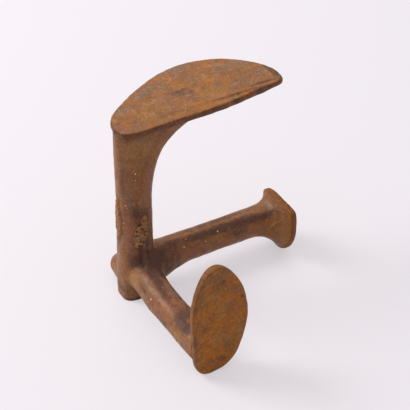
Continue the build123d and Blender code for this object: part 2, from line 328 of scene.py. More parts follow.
def polar_outline(outline, node, along, across):
    """The outline as radius over angle about its middle, with the radius's relative slope."""
    size = (BOXES[node][1] - BOXES[node][0])[[along, across]]
    curve = closed_spline(np.array(outline))
    curve = (curve - curve.min(0)) / np.ptp(curve, axis=0) * size
    middle = size * (0.5, 0.42)
    offset = curve - middle
    angle = np.arctan2(offset[:, 1], offset[:, 0])
    order = np.argsort(angle)
    angle, radius = angle[order], np.hypot(*offset[order].T)
    even = np.linspace(-math.pi, math.pi, 4096, endpoint=False)
    radius = np.interp(even, angle, radius, period=2 * math.pi)
    slope = (np.roll(radius, -1) - np.roll(radius, 1)) / (2 * (even[1] - even[0])) / radius
    return middle, even, radius, slope


def swing(start, end, at, power):
    """From start at 0 to end at 1, turning late: start + (end - start) * at ^ power."""
    return start + (end - start) * at ** power


def section_distance(u, v, half_u, half_v, fullness):
    """Distance to |u / a|^n + |v / b|^n = 1, to first order: its level over the level's slope."""
    a = np.maximum(np.abs(u) / half_u, 1e-6)
    b = np.maximum(np.abs(v) / half_v, 1e-6)
    level = (a ** fullness + b ** fullness) ** (1 / fullness)
    slope = np.hypot((a / level) ** (fullness - 1) / half_u, (b / level) ** (fullness - 1) / half_v)
    return (level - 1) / slope


def cut_end(side, end, rounding):
    """Inside both distances, with the edge between them rounded to a radius."""
    corner = np.hypot(np.maximum(side + rounding, 0), np.maximum(end + rounding, 0))
    return corner + np.minimum(np.maximum(side, end) + rounding, 0) - rounding


def run_together(first, second, width):
    """The nearer of two surfaces, less width / 6 * (1 - |difference| / width)^3 where they are
    nearer to each other than width, which fills the corner between them."""
    near = np.maximum(1 - np.abs(first - second) / width, 0)
    return np.minimum(first, second) - near ** 3 * width / 6


def smooth_step(at):
    """3 t^2 - 2 t^3, between 0 and 1."""
    at = np.clip(at, 0, 1)
    return at * at * (3 - 2 * at)


def outline_distance(offset, spot, outline):
    """Distance to a plate's outline along its plane, to first order: the radius less the outline's
    radius at that angle, over the hypotenuse of 1 and the outline's slope. Negative inside it."""
    _, long_axis, cross_axis, _ = spot
    middle, angles, radii, slopes = outline
    u = offset @ long_axis - middle[0]
    v = offset @ cross_axis - middle[1]
    angle = np.arctan2(v, u)
    radius = np.interp(angle, angles, radii, period=2 * math.pi)
    slope = np.interp(angle, angles, slopes, period=2 * math.pi)
    return (np.hypot(u, v) - radius) / np.hypot(1, slope)


def plate_distance(points, spot, outline, inset, thickness, face_rounding, back_rounding):
    """A plate: its polar outline, drawn in by its inset, times its thickness, with both rims rounded.
    The second value is the distance to the outline alone."""
    offset = points - spot[0]
    side = outline_distance(offset, spot, outline) + inset
    up = offset @ spot[3]
    rounding = np.where(up > thickness / 2, face_rounding, back_rounding)
    return cut_end(side, np.abs(up - thickness / 2) - thickness / 2, rounding), side


def post_distance(points, post):
    """An oval carried up from the floor: the foot, the root, the waist, and the web that swings out
    to +X below the sole."""
    x, y, z = points.T
    top = low("large_sole_plate", 2)
    waist = top - post.web_drop
    hub_top, hub_low = high("centre_hub", 2), low("centre_hub", 2)
    root = np.clip((waist - z) / (waist - hub_top), 0, 1)
    web = np.clip((z - waist) / post.web_drop, 0, 1.02)
    foot = smooth_step((hub_top - z) / (hub_top - hub_low))
    half = swing(post.width, post.root_width, root, post.root_power) / 2
    half = swing(half, post.foot_width / 2, foot, 1)
    middle = swing(post.shift, post.root_shift, root, post.root_power)
    middle = swing(middle, 0, foot, 1)
    left = middle - half
    out = swing(web ** 2, web ** post.web_power, post.web_late, 1)
    right = swing(middle + half, post.web_reach, out, 1)
    depth = swing(post.depth, post.root_depth, root, post.root_power)
    depth = swing(depth, post.web_depth, web, 1)
    depth = swing(depth, post.foot_depth, foot, 1)
    fullness = np.where(x > (left + right) / 2, post.web_fullness, post.back_fullness)
    fullness = swing(2.0, fullness, web, 1) + (post.foot_fullness - 2.0) * foot
    side = section_distance(
        x - (left + right) / 2, y + post.foot_shift * foot, (right - left) / 2, depth / 2, fullness,
    )
    side = cut_end(side, -z, post.foot_rounding)
    return cut_end(side, z - top - 0.002, 0.001)


def heel_leg_distance(points, legs, spot, outline):
    """An oval carried along +X, thickest at the hub. Towards the heel plate its distance turns into
    the distance to the plate's own outline, so that the leg spreads to the plate's shape."""
    x, y, z = points.T
    back = low("heel_plate", 0)
    root = np.clip(1 - x / legs.root_length, 0, 1)
    above = smooth_step(0.5 + (z - legs.height) / legs.heel_thickness)
    flare = np.clip(1 - (back - x) / legs.flare_length, 0, 1)
    flare = flare ** swing(legs.flare_low_power, legs.flare_high_power, above, 1)
    thick = legs.heel_thickness
    width = thick + (legs.heel_root_width - thick) * root ** legs.root_power
    tall = thick + (legs.heel_root_height - thick) * root ** legs.root_power
    side = -legs.heel_root_shift * root ** legs.root_power
    rise = -legs.heel_root_sag * root ** legs.root_power
    skin = section_distance(y - side, z - legs.height - rise, width / 2, tall / 2, legs.fullness)
    spread = outline_distance(points - spot[0], spot, outline) + legs.flare_inset
    skin = swing(skin, spread, flare, 1)
    skin = cut_end(skin, -x, 0.008)
    return cut_end(skin, x - back - 0.002, 0.001)


def small_leg_distance(points, legs, spot, outline):
    """An oval carried along -Y, thickest at the hub and drifting a little along +X. Where it would
    stand out beyond the rim of its plate, it is drawn in over the last stretch."""
    x, y, z = points.T
    back = -high("small_sole_plate", 1)
    out = -y
    root = np.clip(1 - out / legs.root_length, 0, 1)
    drift = np.clip((out - legs.root_length) / (back - legs.root_length), 0, 1)
    thick = legs.small_thickness
    width = thick + (legs.small_root_width - thick) * root ** legs.root_power
    tall = thick + (legs.small_root_height - thick) * root ** legs.root_power
    side = legs.small_root_shift * root ** legs.root_power + legs.small_drift * drift
    rise = -legs.small_root_sag * root ** legs.root_power
    skin = section_distance(x - side, z - legs.height - rise, width / 2, tall / 2, legs.fullness)
    within = outline_distance(points - spot[0], spot, outline) - legs.draw_in * np.maximum(back - out, 0)
    skin = -run_together(-skin, -within, 0.003)
    skin = cut_end(skin, -out, 0.008)
    return cut_end(skin, out - back - 0.002, 0.001)


def spur_distance(points, legs):
    """A cone along +Y that lies on the floor, with a ball for its tip."""
    x, y, z = points.T
    root, tip = legs.spur_root / 2, legs.spur_tip / 2
    last = legs.spur_reach - tip
    along = np.clip(y / last, 0, 1)
    radius = swing(root, tip, along, 1)
    return np.sqrt(x ** 2 + (y - along * last) ** 2 + (z - radius) ** 2) - radius


def near_scars(points, scars):
    """The points round the middle of the post, where the scars and their colours can lie."""
    x, y, z = points.T
    high = scars.side_height + scars.side_length
    return (np.abs(x) < 0.028) & (np.abs(y) < 0.028) & (z > scars.groove_low) & (z < high)


def scar_levels(points, post, scars):
    """Place on each scar's leaf, 0 in its middle and 1 on its rim: the hypotenuse of the height
    over the half length and the width over the half width. The front leaf leans, and narrows towards
    its top. Waves make both rims ragged. Far from a scar its level is 9."""
    levels = np.full((2, len(points)), 9.0)
    near = near_scars(points, scars)
    x, y, z = points[near].T
    side = np.hypot((z - scars.side_height) / (scars.side_length / 2), y / (scars.side_width / 2))
    side[x > post.shift] = 9
    lean = scars.front_lean
    out, up = x - post.shift, z - scars.front_height
    along = (out * math.sin(lean) + up * math.cos(lean)) / (scars.front_length / 2)
    half = scars.front_width / 2 * np.clip(1 - scars.front_taper * along, 0.3, 1.2)
    front = np.hypot(along, (out * math.cos(lean) - up * math.sin(lean)) / half)
    front[y > 0] = 9
    ragged = waves(points[near], 0.011, 12)
    levels[:, near] = np.stack([side + 0.09 * ragged, front + 0.13 * ragged])
    return levels


def scar_height(points, post, scars):
    """A plateau inside each scar's rim with lumps on it, lower ones on the side scar, and a groove
    around it."""
    side, front = scar_levels(points, post, scars)
    level = np.minimum(side, front)
    top = smooth_step((1.05 - level) / 0.25)
    height = -scars.outline_groove * bell(level, 1.12, 0.10)
    on_top = top > 0
    lumps = scars.crust * np.where(front < side, 1, 0.25)[on_top] * waves(points[on_top], 0.0045, 13)
    height[on_top] += top[on_top] * (scars.relief + lumps)
    return height


def bell(value, middle, half):
    """exp(-((value - middle) / half)^2)"""
    return np.exp(-((value - middle) / half) ** 2)


def groove_height(points, scars):
    """Two grooves down the front of the post below its scar, with a ridge between them."""
    x, y, z = points.T
    within = smooth_step((z - scars.groove_low) / 0.010) * smooth_step((scars.groove_high - z) / 0.006)
    profile = -bell(x, 0, 0.0016) - 0.8 * bell(x, 0.0074, 0.0014) + 0.5 * bell(x, 0.0037, 0.0015)
    return scars.groove * profile * within * (y < -0.005) * (y > -0.026)


def ridge_height(points, legs, scars):
    """A soft ridge along the top of the heel leg, from its root into its flare."""
    x, y, z = points.T
    within = smooth_step((x - 0.030) / 0.015) * smooth_step((0.172 - x) / 0.015)
    bend = 0.010 * smooth_step((x - 0.135) / 0.040)
    return scars.leg_ridge * bell(y, -0.0035 - bend, 0.0028) * within * (z > legs.height)


def pit_height(points, scars):
    """Minus the pit depth times a bell over the distance to each pit's middle."""
    height = np.zeros(len(points))
    for *middle, radius in PITS:
        reach = np.linalg.norm(points - np.array(middle) / 1000, axis=1)
        height -= scars.pit * bell(reach, 0, radius / 1000)
    return height


def marks(points, spots):
    """1 less the product of (1 - strength * exp(-|q|^2)) over the spots, where q is the offset from
    a spot's middle over its half sizes."""
    clear = np.ones(len(points))
    for *sizes, strength in spots:
        middle, half = np.array(sizes).reshape(2, 3) / 1000
        clear *= 1 - strength * np.exp(-(((points - middle) / half) ** 2).sum(1))
    return 1 - clear


def waves(points, wavelength, seed, count=20):
    """Smooth unevenness between about -1 and 1: the mean of plane waves whose directions, phases
    and lengths are spread at random about the wavelength."""
    random = np.random.default_rng(seed)
    heading = random.normal(size=(count, 3))
    heading /= np.linalg.norm(heading, axis=1)[:, None]
    heading *= 2 * math.pi / (wavelength * random.uniform(0.7, 1.5, (count, 1)))
    phase = random.uniform(0, 2 * math.pi, count)
    return np.sin(points @ heading.T + phase).sum(1) / math.sqrt(count)


class Casting:
    """The distance to the whole casting, with its sizes read once."""

    def __init__(self, scene):
        self.plates = scene.anvil_plates
        self.post = scene.anvil_post
        self.legs = scene.anvil_legs
        self.scars = scene.anvil_scars
        self.skin = scene.anvil_skin
        self.spots = plate_spots()
        self.outlines = {
            "large_sole_plate": polar_outline(LARGE_SOLE_OUTLINE, "large_sole_plate", 0, 1),
            "small_sole_plate": polar_outline(SMALL_SOLE_OUTLINE, "small_sole_plate", 2, 0),
            "heel_plate": polar_outline(HEEL_PLATE_OUTLINE, "heel_plate", 2, 1),
        }
        self.thickness = {
            "large_sole_plate": self.plates.large_thickness,
            "small_sole_plate": self.plates.small_thickness,
            "heel_plate": self.plates.heel_thickness,
        }

        self.inset = {
            "large_sole_plate": 0.0,
            "small_sole_plate": self.plates.small_inset,
            "heel_plate": 0.0,
        }

    def distance(self, points):
        """Members and plates run together, negative inside."""
        skin = self.skin
        heel = heel_leg_distance(
            points, self.legs, self.spots["heel_plate"], self.outlines["heel_plate"],
        )
        body = post_distance(points, self.post)
        body = run_together(body, heel, skin.hub_fillet)
        small = small_leg_distance(
            points, self.legs, self.spots["small_sole_plate"], self.outlines["small_sole_plate"],
        )
        body = run_together(body, small, skin.small_fillet)
        body = run_together(body, spur_distance(points, self.legs), skin.spur_fillet)
        for name, spot in self.spots.items():
            plate, side = plate_distance(
                points, spot, self.outlines[name], self.inset[name], self.thickness[name],
                self.plates.face_rounding, self.plates.back_rounding,
            )
            width = np.clip(-side, skin.rim_fillet, skin.plate_fillet)
            body = run_together(body, plate, width)
        return body - skin.growth - scar_height(points, self.post, self.scars)

    def uneven(self, points):
        """How far the real surface stands proud of the smooth one."""
        height = waves(points, 0.040, 3) * self.skin.swell
        height += waves(points, 0.009, 5) * self.skin.ripple
        height += groove_height(points, self.scars)
        height += ridge_height(points, self.legs, self.scars)
        return height + pit_height(points, self.scars)

    def surface(self, points):
        """The uneven skin. Nothing of it reaches below the floor."""
        return cut_end(self.distance(points) - self.uneven(points), -points[:, 2], 0.0005)

    def rim(self, points):
        """1 on the sides of the plates, down to 0 at 1.4 mm inside their outlines."""
        value = np.zeros(len(points))
        for name, spot in self.spots.items():
            offset = points - spot[0]
            side = outline_distance(offset, spot, self.outlines[name]) + self.inset[name]
            on_plate = smooth_step(1 + offset @ spot[3] / 0.001)
            value = np.maximum(value, smooth_step(1 + side / 0.0014) * on_plate)
        return value

    def stains_and_painted_shade(self, points):
        """Where each colour of stain lies, from 0 to 1, for the materials. The dark value also carries painted
        shade: in the groove round each scar, in the two grooves below the front scar, and between the lumps of
        the front scar.
        """
        levels = scar_levels(points, self.post, self.scars)
        scar = smooth_step((1.05 - levels.min(0)) / 0.15)
        crusted = smooth_step((1.05 - levels[1]) / 0.15)
        around = bell(levels.min(0), 1.12, 0.10)
        grooves = -groove_height(points, self.scars) / self.scars.groove
        # Dark marks, some of them painted shade, and painted shade in the groove round each scar
        dark = np.maximum(marks(points, DARK_SKIN_AND_SHADE_MARKS) * (1 - scar), 0.45 * around)
        # Painted shade in the two grooves below the front scar, as deep as the grooves
        dark = np.maximum(dark, np.clip(grooves, 0, 1))
        # Painted shade in the hollows between the lumps of the front scar
        on_front = crusted > 0
        painted_shade_between_lumps = -0.65 * crusted[on_front] * waves(points[on_front], 0.0045, 13)
        dark[on_front] = np.maximum(dark[on_front], painted_shade_between_lumps)
        chips = [(*middle, radius, radius, radius, 1.0) for *middle, radius in CHIPS]
        return {
            "dark": dark,
            "grey": marks(points, GREY_MARKS),
            "red": marks(points, RED_MARKS) * (1 - scar),
            "ochre": np.maximum(marks(points, OCHRE_MARKS), crusted),
            "chip": marks(points, chips),
            "rim": self.rim(points),
        }

    def slope(self, points, step=0.0002):
        """Gradient of the surface's distance, from differences either side."""
        slope = np.empty_like(points)
        for axis in range(3):
            shift = np.zeros(3)
            shift[axis] = step
            slope[:, axis] = (self.surface(points + shift) - self.surface(points - shift)) / (2 * step)
        return slope


BLOCK = 4


def net(casting, lows, highs, cell):
    """Net of quads on the casting's skin within a box. A cubic grid is laid over the box, at whole
    multiples of the cell. Each cell with corners on both sides of the skin gets one vertex, at the
    mean of where its edges cross the skin, and each grid edge that crosses the skin joins the four
    cells around it in a quad. Far from the skin the grid is only looked at in blocks."""
    first = np.floor(np.array(lows) / (BLOCK * cell)).astype(int) * BLOCK
    last = np.ceil(np.array(highs) / (BLOCK * cell)).astype(int) * BLOCK
    lines = [np.arange(a, b) * cell for a, b in zip(first, last)]
    middles = [line.reshape(-1, BLOCK).mean(1) for line in lines]
    blocks = np.stack(np.meshgrid(*middles, indexing="ij"), -1)
    value = casting.distance(blocks.reshape(-1, 3)).reshape(blocks.shape[:3])
    near = np.abs(value) < 2.2 * BLOCK * cell
    for axis in range(3):
        value = value.repeat(BLOCK, axis)
        near = near.repeat(BLOCK, axis)
    value[near] = casting.distance((np.argwhere(near) + first) * cell)
    inside = value < 0
    size = np.array(value.shape) - 1
    corners = [(i, j, k) for i in (0, 1) for j in (0, 1) for k in (0, 1)]
    count = sum(inside[i:i + size[0], j:j + size[1], k:k + size[2]].astype(np.int8) for i, j, k in corners)
    cells = np.argwhere((count > 0) & (count < 8))
    total = np.zeros((len(cells), 3))
    hits = np.zeros(len(cells))
    for start in corners:
        for axis in range(3):
            if start[axis]:
                continue
            end = list(start)
            end[axis] = 1
            here = value[tuple((cells + start).T)]
            there = value[tuple((cells + end).T)]
            crossed = (here < 0) != (there < 0)
            at = np.where(crossed, here / np.where(crossed, here - there, 1), 0)
            spot = np.repeat(np.array(start, float)[None], len(cells), 0)
            spot[:, axis] = at
            total += spot * crossed[:, None]
            hits += crossed
    vertices = (cells + first + total / hits[:, None]) * cell
    number_of = np.full(size, -1)
    number_of[tuple(cells.T)] = np.arange(len(cells))
    quads = []
    for axis in range(3):
        one, two = (axis + 1) % 3, (axis + 2) % 3
        step = np.eye(3, dtype=int)
        lower = inside[tuple(slice(0, n) for n in size)]
        upper = inside[tuple(slice(step[axis][i], n + step[axis][i]) for i, n in enumerate(size))]
        edges = np.argwhere(lower != upper)
        edges = edges[(edges[:, one] > 0) & (edges[:, two] > 0)]
        outward = lower[tuple(edges.T)]
        ring = [edges - step[one] - step[two], edges - step[two], edges, edges - step[one]]
        quad = np.stack([number_of[tuple(corner.T)] for corner in ring], 1)
        quad[~outward] = quad[~outward, ::-1]
        quads.append(quad)
    quads = np.concatenate(quads)
    return vertices, quads[(quads >= 0).all(1)]


def settle(casting, vertices, cell, rounds=4):
    """Moves the vertices onto the uneven surface by Newton's steps along its slope."""
    for _ in range(rounds):
        slope = casting.slope(vertices)
        step = slope * (casting.surface(vertices) / (slope ** 2).sum(1))[:, None]
        far = np.linalg.norm(step, axis=1)[:, None]
        vertices = vertices - step * np.minimum(1, 0.5 * cell / np.maximum(far, 1e-9))
    return vertices


def other_side(seam):
    point, away = seam
    return point, tuple(-part for part in away)


def seams():
    """Planes at which the skin is cut, each as a point and the direction that is cut away. A seam
    at a plate lies just below its rusted back, so that it doesn't run within a flat face."""
    (_, hub_near, hub_low), (hub_side, hub_far, hub_top) = BOXES["centre_hub"]
    skin = bpy.context.scene.anvil_skin
    below = skin.growth + skin.swell + skin.ripple + 0.0004
    sole = low("large_sole_plate", 2) - below
    heel = low("heel_plate", 0) - below
    small = high("small_sole_plate", 1) + below
    above_hub, under_hub = ((0, 0, hub_top), (0, 0, 1)), ((0, 0, hub_low), (0, 0, -1))
    heel_side, small_side, spur_side = (
        ((hub_side, 0, 0), (1, 0, 0)), ((0, hub_near, 0), (0, -1, 0)), ((0, hub_far, 0), (0, 1, 0)),
    )
    return {
        "large_sole_plate": (((0, 0, sole), (0, 0, -1)),),
        "heel_plate": (((heel, 0, 0), (-1, 0, 0)),),
        "small_sole_plate": (((0, small, 0), (0, 1, 0)),),
        "upright_post": (other_side(above_hub), ((0, 0, sole), (0, 0, 1))),
        "heel_leg": (other_side(heel_side), ((heel, 0, 0), (1, 0, 0))),
        "small_sole_leg": (other_side(small_side), heel_side, ((0, small, 0), (0, -1, 0))),
        "rear_spur": (other_side(spur_side), heel_side),
        "centre_hub": (small_side, spur_side, heel_side, above_hub, under_hub),
        "foot": (small_side, spur_side, heel_side, other_side(under_hub)),
    }


def cast(node, margin, material):
    """One piece of the casting: its part of the skin, cut at its seams and closed there."""
    scene = bpy.context.scene
    casting = Casting(scene)
    cell = scene.anvil_skin.cell * 1
    lows, highs = BOXES[node]
    vertices, quads = net(casting, lows - margin, highs + margin, cell)
    vertices = settle(casting, vertices, cell)
    mesh = bpy.data.meshes.new(node + "_skin")
    mesh.from_pydata(vertices, [], quads)
    bm = bmesh.new()
    bm.from_mesh(mesh)
    for point, away in seams()[node]:
        everything = bm.verts[:] + bm.edges[:] + bm.faces[:]
        cut = bmesh.ops.bisect_plane(
            bm, geom=everything, dist=1e-8, plane_co=point, plane_no=away, clear_outer=True,
        )
        rim = [part for part in cut["geom_cut"] if isinstance(part, bmesh.types.BMEdge)]
        bmesh.ops.triangle_fill(bm, edges=rim, use_beauty=True, use_dissolve=False)
    still_open = [edge for edge in bm.edges if edge.is_boundary]
    bmesh.ops.holes_fill(bm, edges=still_open, sides=0)
    bm.to_mesh(mesh)
    bm.free()
    dress(mesh, casting, seams()[node])
    piece = bpy.data.objects.new(node + "_skin", mesh)
    scene.collection.objects.link(piece)
    mesh.materials.append(material)
    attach(piece, "root")
    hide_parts(node)
    return piece


def dress(mesh, casting, planes):
    """Gives the mesh the surface's own normals, so that seams don't show, and the values that its materials
    read: the marks of stain and of painted shade, edge, 1 where the metal is thin behind the surface, and
    hollow, 1 in a corner, by which the materials paint dirt and shade into the corners."""
    count = len(mesh.vertices)
    points = np.empty(count * 3)
    mesh.vertices.foreach_get("co", points)
    points = points.reshape(-1, 3)
    slope = casting.slope(points)
    normal = slope / np.linalg.norm(slope, axis=1)[:, None]
    inner, outer = 0.0025, 0.006
    edge = 1 + casting.distance(points - normal * inner) / inner
    # How much the skin closes in over each point; the materials darken by it as dirt and painted shade
    hollow = 1 - casting.distance(points + normal * outer) / outer
    layers = casting.stains_and_painted_shade(points) | {"edge": edge, "hollow": hollow}
    for name, values in layers.items():
        layer = mesh.attributes.new(name, "FLOAT", "POINT")
        layer.data.foreach_set("value", np.clip(values, 0, 1).astype(np.float32))
    mesh.polygons.foreach_set("use_smooth", np.ones(len(mesh.polygons), bool))
    corner_vertex = np.empty(len(mesh.loops), int)
    mesh.loops.foreach_get("vertex_index", corner_vertex)
    corner_normal = normal[corner_vertex]
    faces = len(mesh.polygons)
    centre = np.empty(faces * 3)
    face_normal = np.empty(faces * 3)
    corners = np.empty(faces, int)
    mesh.polygons.foreach_get("center", centre)
    mesh.polygons.foreach_get("normal", face_normal)
    mesh.polygons.foreach_get("loop_total", corners)
    centre, face_normal = centre.reshape(-1, 3), face_normal.reshape(-1, 3)
    cap = np.zeros(faces, bool)
    for point, away in planes:
        offset = np.abs((centre - np.array(point)) @ np.array(away, float))
        cap |= (offset < 1e-6) & (np.abs(face_normal @ np.array(away, float)) > 0.999)
    on_cap = np.repeat(cap, corners)
    corner_normal[on_cap] = np.repeat(face_normal, corners, 0)[on_cap]
    mesh.normals_split_custom_set(corner_normal.tolist())


class AnvilFinish(bpy.types.PropertyGroup):
    """Colours and strengths of the rust."""

    orange: colour("Orange rust", "Loose bright rust on the working faces", (0.41, 0.138, 0.017))
    brown: colour("Brown rust", "The common rust of the casting", (0.222, 0.096, 0.035))
    ochre: colour("Ochre rust", "Yellow-brown rust in drifts and on the scars", (0.33, 0.155, 0.040))
    red: colour("Red rust", "Pinkish red rust of the rubbed places", (0.30, 0.105, 0.055))
    grey: colour("Grey skin", "Thin grey patches of old scale", (0.25, 0.135, 0.080))
    # The dark skin colour is also the colour of the painted shade in the hollows, the crease at the hub, the
    # grooves and round the scars
    dark: colour("Dark skin", "Old purple-brown skin in hollows and around rims", (0.080, 0.036, 0.029))
    pale: colour("Pale specks", "Small specks of bare or dusty metal", (0.85, 0.66, 0.45))
    roughness: share("Roughness", "How matt the rust is", 0.38)
    gloss: share("Gloss", "How much smoother the old skin is than the rust", 0.03)
    pits: share("Pits", "Depth of the pitting", 0.5)


class AnvilStage(bpy.types.PropertyGroup):
    """Camera, lamps and floor."""

    target: FloatVectorProperty(
        name="Target", description="What the camera looks at", default=(0.0684, -0.0358, 0.1158),
        size=3, subtype="XYZ", unit="LENGTH",
    )
    azimuth: FloatProperty(
        name="Azimuth", description="Where the camera stands round the anvil",
        default=math.radians(-29.2), subtype="ANGLE", unit="ROTATION",
    )
    elevation: FloatProperty(
        name="Elevation", description="How far above the anvil the camera stands",
        default=math.radians(38.4), subtype="ANGLE", unit="ROTATION",
    )
    distance: length("Distance", "Target to camera", 1.3684)
    focal_pixels: number("Focal length", "In pixels of the photograph", 1300.0)
    floor: colour("Floor", "Colour of the floor", (0.85, 0.815, 0.855))
    background: colour("Background", "Colour of the plain background", (0.93, 0.886, 0.925))
    sky: number("Sky", "Strength of the even light from all round", 0.47)
    glow: share("Glow", "How much of the floor the camera sees as plain background, free of shadow", 0.55)
    shine: number("Shine", "Strength of what the metal mirrors from all round", 0.6)
    softbox: number("Softbox", "Power of the large lamp overhead", 20.0)
    key: number("Key lamp", "Power of the lamp to the left behind the anvil", 50.0)
    rear: number("Rear lamp", "Power of the lamp to the right behind the anvil", 2.5)


def group_input(group, name, kind, default=None):
    socket = group.interface.new_socket(name, in_out="INPUT", socket_type=kind)
    if default is not None:
        socket.default_value = default
    return socket


def new_group(name, inputs, outputs):
    """An empty node group with named sockets, and its input and output nodes."""
    group = bpy.data.node_groups.new(name, "ShaderNodeTree")
    for label, kind, default in inputs:
        group_input(group, label, kind, default)
    for label, kind in outputs:
        group.interface.new_socket(label, in_out="OUTPUT", socket_type=kind)
    return group, group.nodes.new("NodeGroupInput"), group.nodes.new("NodeGroupOutput")


def wire(tree, source, target):
    tree.links.new(source, target)


def noise(tree, vector, scale, detail=4.0, roughness=0.55, distortion=0.0):
    node = tree.nodes.new("ShaderNodeTexNoise")
    node.inputs["Scale"].default_value = scale
    node.inputs["Detail"].default_value = detail
    node.inputs["Roughness"].default_value = roughness
    node.inputs["Distortion"].default_value = distortion
    wire(tree, vector, node.inputs["Vector"])
    return node.outputs["Fac"]


def step_between(tree, value, start, end, smooth=True):
    """0 below start, 1 above end."""
    node = tree.nodes.new("ShaderNodeMapRange")
    node.interpolation_type = "SMOOTHSTEP" if smooth else "LINEAR"
    wire(tree, value, node.inputs["Value"])
    node.inputs["From Min"].default_value = start
    node.inputs["From Max"].default_value = end
    return node.outputs["Result"]


def calculate(tree, operation, *values):
    node = tree.nodes.new("ShaderNodeMath")
    node.operation = operation
    for socket, value in zip(node.inputs, values):
        if isinstance(value, (int, float)):
            socket.default_value = value
        else:
            wire(tree, value, socket)
    return node.outputs["Value"]


def blend_colour(tree, amount, first, second, mode="MIX"):
    node = tree.nodes.new("ShaderNodeMix")
    node.data_type = "RGBA"
    node.blend_type = mode
    for label, kind, value in (("Factor", "VALUE", amount), ("A", "RGBA", first), ("B", "RGBA", second)):
        socket = next(s for s in node.inputs if s.name == label and s.type == kind)
        if isinstance(value, (int, float)):
            socket.default_value = value
        elif isinstance(value, tuple):
            socket.default_value = (*value, 1)
        else:
            wire(tree, value, socket)
    return next(s for s in node.outputs if s.type == "RGBA")


def mark_amount(tree, mark, ragged, strength=0.9):
    """A mark broken up by noise, so that its edge frays."""
    return step_between(tree, calculate(tree, "MULTIPLY_ADD", ragged, strength, mark), 0.62, 1.15)


def mottle_group():
    """Colour of rust: a base with warm drifts and grey patches, the piece's own marks with frayed edges, fine
    pale veins, dark blotches, grain and specks; the dark marks are dark skin, and in places painted shade. Gloss
    is 1 where old skin shows, and the third output is 1 where a dark mark dulls it."""
    colours = ("Base", "Warm", "Grey", "Red", "Ochre", "Dark", "Pale")
    amounts = ("Warmth", "Patches", "Veins", "Specks")
    attributes = ("Grey mark", "Red mark", "Ochre mark", "Dark mark", "Chips")
    group, given, result = new_group(
        "Rust mottle",
        (
            ("Vector", "NodeSocketVector", None),
            *((label, "NodeSocketColor", None) for label in colours),
            *((label, "NodeSocketFloat", None) for label in amounts + attributes),
        ),
        (("Color", "NodeSocketColor"), ("Gloss", "NodeSocketFloat"), ("Dark_skin_and_shade", "NodeSocketFloat")),
    )
    vector, value = given.outputs["Vector"], given.outputs
    ragged = noise(group, vector, 150, 5, 0.65)
    warm = step_between(group, noise(group, vector, 60, 6, 0.66), 0.32, 0.72)
    warm = calculate(group, "MULTIPLY", warm, value["Warmth"])
    colour_now = blend_colour(group, warm, value["Base"], value["Warm"])
    drift = step_between(group, noise(group, vector, 85, 5, 0.6, 0.3), 0.50, 0.72)
    drift = calculate(group, "MULTIPLY", drift, calculate(group, "MULTIPLY", value["Warmth"], 0.5))
    colour_now = blend_colour(group, drift, colour_now, value["Ochre"])
    patch = step_between(group, noise(group, vector, 26, 5, 0.6, 0.5), 0.52, 0.70)
    patch = calculate(group, "MULTIPLY", patch, value["Patches"])
    patch = calculate(group, "MAXIMUM", patch, mark_amount(group, value["Grey mark"], ragged))
    colour_now = blend_colour(group, patch, colour_now, value["Grey"])
    for label in ("Ochre", "Red"):
        amount = mark_amount(group, value[label + " mark"], ragged)
        amount = calculate(group, "MULTIPLY", amount, 0.65)
        colour_now = blend_colour(group, amount, colour_now, value[label])
    vein = calculate(group, "ABSOLUTE", calculate(group, "SUBTRACT", noise(group, vector, 100, 3, 0.6), 0.5))
    vein = calculate(group, "SUBTRACT", 1.0, step_between(group, vein, 0.004, 0.06))
    vein = calculate(group, "MULTIPLY", vein, step_between(group, noise(group, vector, 170, 3), 0.42, 0.66))
    vein = calculate(group, "MULTIPLY", vein, value["Veins"])
    colour_now = blend_colour(group, vein, colour_now, value["Pale"])
    blot = step_between(group, noise(group, vector, 130, 4, 0.6), 0.58, 0.74)
    blot = calculate(group, "MULTIPLY", blot, calculate(group, "MULTIPLY", value["Patches"], 0.8))
    # Dark marks: dark skin, and painted shade where the marks stand for it
    dark = mark_amount(group, value["Dark mark"], ragged)
    dark = calculate(group, "MULTIPLY", dark, 0.85)
    wire(group, dark, result.inputs["Dark_skin_and_shade"])
    dark = calculate(group, "MAXIMUM", dark, blot)
    colour_now = blend_colour(group, dark, colour_now, value["Dark"])
    grain = step_between(group, noise(group, vector, 430, 3, 0.65), 0.28, 0.72, False)
    grain = calculate(group, "MULTIPLY_ADD", grain, 0.60, 0.70)
    colour_now = blend_colour(group, 1.0, colour_now, grain, "MULTIPLY")
    speck = step_between(group, noise(group, vector, 620, 1, 0.5), 0.74, 0.79)
    speck = calculate(group, "MULTIPLY", speck, value["Specks"])
    speck = calculate(group, "MAXIMUM", speck, step_between(group, value["Chips"], 0.35, 0.75))
    colour_now = blend_colour(group, speck, colour_now, value["Pale"])
    wire(group, colour_now, result.inputs["Color"])
    patch = calculate(group, "MULTIPLY", patch, 0.4)
    wire(group, calculate(group, "MAXIMUM", dark, patch), result.inputs["Gloss"])
    return group


